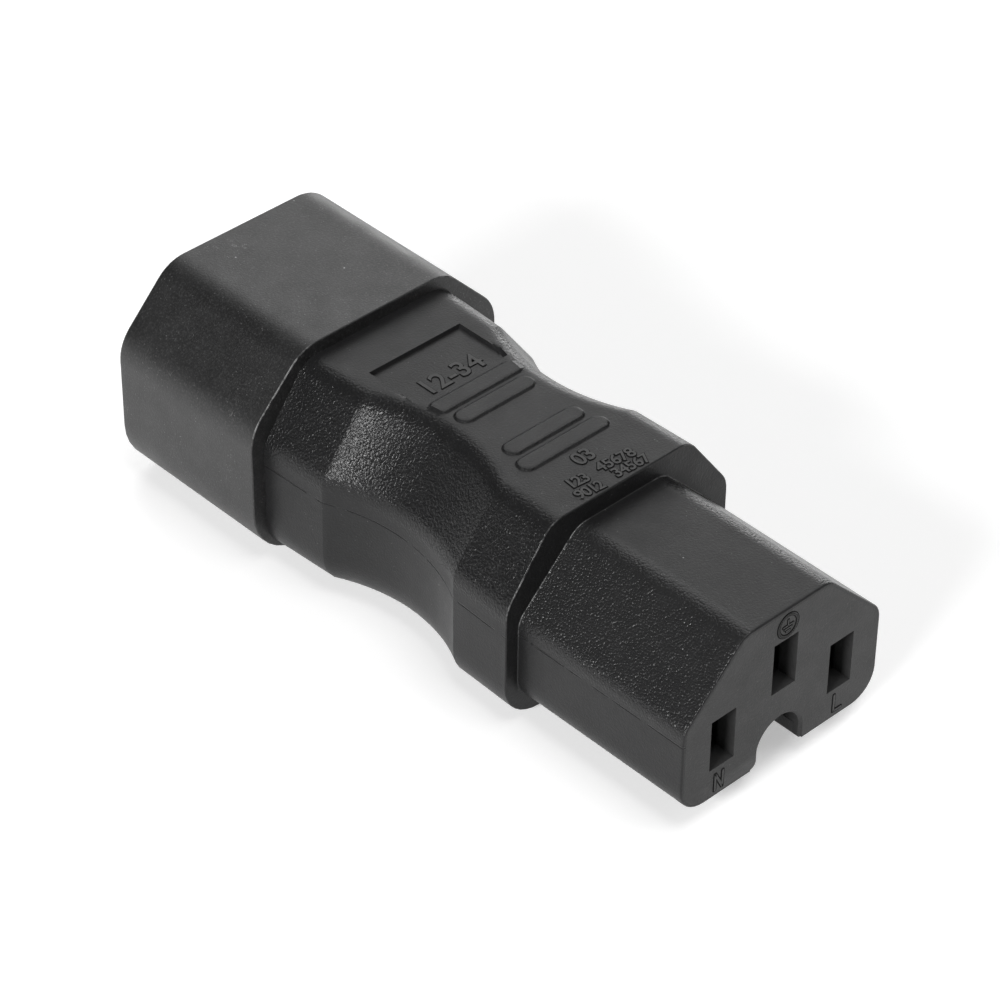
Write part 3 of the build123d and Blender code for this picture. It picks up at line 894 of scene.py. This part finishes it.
def scuffs(tree):
    """Thin crooked scratches in a few patches: edges of Voronoi cells where a cloud is dense."""
    place = here(tree)
    bent = node(tree, "ShaderNodeTexNoise", {"Vector": place, "Scale": 900.0}).outputs["Color"]
    moved = node(tree, "ShaderNodeVectorMath", {0: bent, 1: (0.002, 0.002, 0.002)},
                 operation="MULTIPLY").outputs[0]
    there = node(tree, "ShaderNodeVectorMath", {0: place, 1: moved}, operation="ADD").outputs[0]
    cells = node(tree, "ShaderNodeTexVoronoi", {"Vector": there, "Scale": 850.0},
                 feature="DISTANCE_TO_EDGE").outputs["Distance"]
    thin = stretch(tree, cells, 0.008, 0.025, 1.0, 0.0)
    patch = stretch(tree, noise(tree, 300.0, 2.0), 0.60, 0.74)
    broken = stretch(tree, noise(tree, 2200.0, 2.0), 0.46, 0.60)
    return times(tree, thin, times(tree, patch, broken))


def lightened(tree, tone, amount, level):
    """The tone, moved by the amount towards a grey of that level."""
    return blend_colours(tree, amount, tone, (level, level, level))


print("The seam and the scuffs are ready")

# %% The function for black plastics
def grained_surface(tree, tone, gloss, normal):
    """The mould's grain: relief, less roughness, a paler nose, and crumbs along the ribs' feet.

    A pebble's height is 0.8 less the squared distance to its middle.
    """
    strength, along = own_value(tree, "grain"), place_parts(tree)[1]
    on_body = calc(tree, "GREATER_THAN", along, FLANGE_Y / 1000)
    worms = stretch(tree, noise(tree, 4400.0, 1.0, 0.4, 0.4), 0.32, 0.68, 0.0, 0.42)
    pebbles = node(tree, "ShaderNodeTexVoronoi", {"Vector": here(tree), "Scale": 5000.0})
    off_middle = pebbles.outputs["Distance"]
    round_tops = calc(tree, "SUBTRACT", 0.8, times(tree, off_middle, off_middle))
    fading = stretch(tree, along, -0.033, -0.018, 0.56, 0.74)
    round_tops = times(tree, round_tops, fading)
    relief, polish, pale = (
        times(tree, strength,
              node(tree, "ShaderNodeMix", {0: on_body, 2: nose, 3: rest}).outputs[0])
        for nose, rest in ((round_tops, worms), (0.15, 0.13), (0.026, 0.0)))
    normal = bump(tree, relief, 0.00007, 1.0, normal)
    crumbs = times(tree, noise(tree, 3600.0, 2.0), own_value(tree, "foot"))
    return (lightened(tree, tone, pale, 0.25), calc(tree, "SUBTRACT", gloss, polish),
            bump(tree, crumbs, 0.00020, 1.0, normal))


def black_plastic(name, base, roughness, ior=1.5, dust=0.6, dusty=0.25, edge_highlight=0.0, scuffed=0.0,
                  grained=False, seam=False, cloudy=1.3, peel=0.6, speckled=0.0):
    """Nearly black plastic with haze and dust, and where asked scuffs, a painted highlight on
    rounded edges, grain and a seam.
    """
    material, tree, shader = new_material(name)
    cloud = stretch(tree, noise(tree, 800.0, 8.0, 0.75), 0.34, 0.68)
    tone = blend_colours(tree, cloud, base, [v * cloudy for v in base])
    fine_dust = times(tree, specks(tree, 2500.0, 0.16, dusty),
                      stretch(tree, noise(tree, 380.0, 3.0), 0.40, 0.62))
    large_dust = specks(tree, 520.0, 0.055, 0.20)
    tone = lightened(tree, tone, times(tree, fine_dust, dust * 0.4), 0.30)
    tone = lightened(tree, tone, times(tree, large_dust, dust), 0.38)
    if speckled:
        powder = stretch(tree, noise(tree, 5600.0, 3.0, 0.65), 0.50, 0.72)
        tone = lightened(tree, tone, times(tree, powder, speckled), 0.25)
    if scuffed:
        tone = lightened(tree, tone, times(tree, scuffs(tree), scuffed), 0.25)
    # Painted highlight: a ragged paler line wherever the "edge" attribute is set.
    if edge_highlight:
        ragged = stretch(tree, noise(tree, 1700.0, 3.0), 0.40, 0.60)
        amount = times(tree, own_value(tree, "edge"), ragged)
        tone = lightened(tree, tone, times(tree, amount, edge_highlight), 0.16)
    gloss = stretch(tree, noise(tree, 420.0, 4.0), 0.25, 0.75, roughness - 0.03, roughness + 0.05)
    normal = bump(tree, noise(tree, 5200.0, 3.0), 0.000010, peel)
    if grained:
        tone, gloss, normal = grained_surface(tree, tone, gloss, normal)
    if seam:
        normal = bump(tree, calc(tree, "SUBTRACT", 1.0, parting_line(tree)), 0.00010, 1.0, normal)
    connect(tree, shader, tone, gloss, normal)
    shader.inputs["IOR"].default_value = ior
    return material


print("black_plastic is ready")

# %% The six black plastics
soft_black = black_plastic("soft_black_moulding", (0.009, 0.009, 0.0093), 0.41, ior=1.37,
                           edge_highlight=0.9, grained=True, seam=True, peel=2.6, speckled=0.02)
hard_black = black_plastic("hard_black_shroud", (0.002, 0.002, 0.0021), 0.46, ior=1.62, dust=0.8,
                           dusty=0.9, edge_highlight=1.0, scuffed=0.40, cloudy=3.0, peel=2.2,
                           speckled=0.12)
face_black = black_plastic("socket_face_black", (0.010, 0.010, 0.010), 0.50, ior=1.47,
                           peel=3.0, speckled=0.06)
mark_black = black_plastic("mark_black", (0.010, 0.010, 0.010), 0.46, dust=0.0)
# Painted shade: the marks' feet and lower sides, and the digits' sides, get this darker, duller
# material.
foot_painted_shade = black_plastic("mark_foot_painted_shade", (0.004, 0.004, 0.004), 0.70, dust=0.0)
# Painted shade: the slots' insides get this paler, duller tone of their own instead of the face's
# reflections.
shade_black = black_plastic("slot_shade_black", (0.036, 0.036, 0.036), 0.80, dust=0.0)
for dull, level in ((foot_painted_shade, 0.10), (shade_black, 0.05)):
    dull.node_tree.nodes["Principled BSDF"].inputs["Specular IOR Level"].default_value = level
moulded_body.data.materials.append(soft_black)
shroud_skin.data.materials.append(hard_black)
socket_face.data.materials.append(face_black)
socket_face.data.materials.append(shade_black)
for mark in face_marks + body_marks:
    mark.data.materials.append(mark_black)
    mark.data.materials.append(foot_painted_shade)
print("Plastics:", soft_black.name, hard_black.name, face_black.name)

# %% [markdown]
# ### Metals, copper and the hidden plastics
# The pins are plated brass, drawn through a die, so fine scratches run along them. The contacts
# are plain brass sheet. Inside the body there are three insulated wires and a grey moulding,
# which nobody sees. One grey would do, but in a cut-open view their real colours tell them apart.

# %% Metals and inner plastics
def metal(name, colour, roughness, stretch_along=30.0):
    """Plated or plain metal: tarnish in clouds, and drawing marks that run along y."""
    material, tree, shader = new_material(name)
    longer = (1.0, 1 / stretch_along, 1.0)
    drawn = node(tree, "ShaderNodeMapping", {"Vector": here(tree), "Scale": longer}).outputs[0]
    marks = node(tree, "ShaderNodeTexNoise", {"Vector": drawn, "Scale": 6000.0,
                                              "Detail": 3.0}).outputs["Fac"]
    tarnish = noise(tree, 500.0, 4.0)
    tone = blend_colours(tree, stretch(tree, tarnish, 0.35, 0.75), colour,
                         [v * 0.72 for v in colour])
    gloss = stretch(tree, tarnish, 0.2, 0.8, roughness - 0.05, roughness + 0.12)
    connect(tree, shader, tone, gloss, bump(tree, marks, 0.00001, 0.35))
    shader.inputs["Metallic"].default_value = 1.0
    return material


def plain_plastic(name, colour, roughness=0.5):
    """Coloured plastic with faint clouds and a fine orange-peel surface."""
    material, tree, shader = new_material(name)
    cloud = stretch(tree, noise(tree, 300.0, 3.0), 0.3, 0.7)
    tone = blend_colours(tree, cloud, [v * 0.9 for v in colour], colour)
    gloss = stretch(tree, noise(tree, 900.0, 3.0), 0.3, 0.7, roughness - 0.05, roughness + 0.05)
    connect(tree, shader, tone, gloss, bump(tree, noise(tree, 2700.0), 0.00001, 0.3))
    return material


def striped_jacket(name, first, second):
    """Two colours side by side round the wire, as on an earth conductor."""
    material, tree, shader = new_material(name)
    side = calc(tree, "GREATER_THAN", place_parts(tree)[0], 0.0)
    gloss = stretch(tree, noise(tree, 900.0), 0.3, 0.7, 0.4, 0.5)
    connect(tree, shader, blend_colours(tree, side, first, second), gloss,
            bump(tree, noise(tree, 3000.0), 0.00001, 0.3))
    return material


print("Metal, plain plastic and striped jackets are ready")

# %% Finishes of the pins and the inner nodes
nickel = metal("nickel_plate", (0.62, 0.60, 0.55), 0.36)
brass = metal("brass_sheet", (0.62, 0.44, 0.18), 0.32)
copper = metal("copper_wire", (0.72, 0.34, 0.20), 0.34, 60.0)
finishes = {
    "insert_rear_cover": plain_plastic("cover_grey", (0.10, 0.10, 0.11)),
    "pin_retainer": plain_plastic("retainer_grey", (0.12, 0.12, 0.12)),
    "inner_premould": plain_plastic("premould_grey", (0.07, 0.07, 0.07), 0.6),
    "line_wire_jacket": plain_plastic("line_brown", (0.11, 0.04, 0.02), 0.45),
    "neutral_wire_jacket": plain_plastic("neutral_blue", (0.02, 0.09, 0.35), 0.45),
    "earth_wire_jacket": striped_jacket("earth_green_yellow", (0.05, 0.30, 0.06),
                                        (0.75, 0.60, 0.04)),
}
for circuit in ("line", "neutral", "earth"):
    finishes[f"{circuit}_contact"] = brass
    finishes[f"{circuit}_wire_core"] = copper
for name, material in finishes.items():
    solid = frame["nodes"][name]
    if not solid.material_slots:
        solid.data.materials.append(material)
    for slot in solid.material_slots:
        slot.material = material
for blade in blades:
    blade.data.materials.append(nickel)
print("Finishes given to", len(finishes), "inner nodes")

# %% [markdown]
# ## Floor, light and surroundings
# A black object shows its surroundings more than its own colour. The floor is white and lit, so
# the upright sides look grey. Lamps alone would leave it short of white in the picture, so it
# also glows a little for the rays that show the background.

# %% Floor
def seen_background(tree):
    """1 for a ray that shows the background: from the camera, by reflection or through glass."""
    rays = node(tree, "ShaderNodeLightPath").outputs
    seen = calc(tree, "ADD", rays["Is Camera Ray"], rays["Is Glossy Ray"])
    return calc(tree, "ADD", seen, rays["Is Transmission Ray"], clamp=True)


floor_mesh = bpy.data.meshes.new("floor")
floor_mesh.from_pydata([(-3, -3, 0), (3, -3, 0), (3, 3, 0), (-3, 3, 0)], [], [(0, 1, 2, 3)])
floor = put("floor", floor_mesh)
floor_material, tree, shader = new_material("white_floor")
shader.inputs["Base Color"].default_value = (0.8, 0.8, 0.8, 1.0)
shader.inputs["Roughness"].default_value = 0.9
shader.inputs["Specular IOR Level"].default_value = 0.0
glow = node(tree, "ShaderNodeEmission", {"Color": (1, 1, 1, 1), "Strength": 0.42})
seen = seen_background(tree)
both = node(tree, "ShaderNodeAddShader", {0: shader.outputs[0], 1: glow.outputs[0]})
mixed = node(tree, "ShaderNodeMixShader", {0: seen, 1: shader.outputs[0], 2: both.outputs[0]})
tree.links.new(mixed.outputs[0], tree.nodes["Material Output"].inputs["Surface"])
floor_mesh.materials.append(floor_material)
print("Floor is six metres square")

# %% [markdown]
# ### Lamps
# An even white room would light everything alike. Five softboxes put each sheen where the
# photograph has it: from behind on the tops, from low behind on their far rounding, from the left
# on the waist's far half, from the front on the edge above the socket's face, and from above on
# the floor. The slanting faces look at the dim part of the room.

# %% Lamps and world
def softbox(name, direction, distance, wide, tall, power):
    """A rectangular area lamp that looks at the adapter from a direction."""
    lamp = bpy.data.lights.new(name, "AREA")
    lamp.shape, lamp.size, lamp.size_y, lamp.energy = "RECTANGLE", wide, tall, power
    heading = np.array(direction) / np.linalg.norm(direction)
    put(name, lamp).matrix_world = looking(heading, distance)


softbox("softbox_behind", (0.54, 0.56, 0.62), 1.0, 0.75, 0.75, 3.3)
softbox("softbox_low_behind", (0.83, 0.56, 0.10), 1.0, 0.30, 0.30, 1.6)
softbox("softbox_left", (-0.89, -0.18, 0.42), 1.0, 0.36, 0.20, 8.6)
softbox("softbox_front", (0.54, -0.62, 0.56), 1.0, 0.50, 0.50, 1.0)
softbox("softbox_above", (0.0, -0.25, 1.0), 1.2, 0.6, 0.6, 4.6)

world = bpy.context.scene.world or bpy.data.worlds.new("studio")
bpy.context.scene.world = world
world.use_nodes = True
tree = world.node_tree
tree.nodes.clear()
rays = node(tree, "ShaderNodeLightPath").outputs
direction = node(tree, "ShaderNodeTexCoord").outputs["Generated"]
upwards = node(tree, "ShaderNodeSeparateXYZ", {0: direction}).outputs[2]
mirrored = calc(tree, "ADD", rays["Is Glossy Ray"], rays["Is Transmission Ray"], clamp=True)
low_band = times(tree, stretch(tree, upwards, 0.0, 0.04, 1.0, 0.0), mirrored)
white_share = calc(tree, "MAXIMUM", rays["Is Camera Ray"], low_band)
room = node(tree, "ShaderNodeBackground", {"Color": (1, 1, 1, 1), "Strength": 0.08})
white = node(tree, "ShaderNodeBackground", {"Color": (1, 1, 1, 1), "Strength": 1.0})
chosen = node(tree, "ShaderNodeMixShader", {0: white_share, 1: room.outputs[0],
                                            2: white.outputs[0]})
node(tree, "ShaderNodeOutputWorld", {"Surface": chosen.outputs[0]})
bpy.context.scene.view_settings.view_transform = "Standard"
print("Lamps:", [light.name for light in bpy.data.lights])
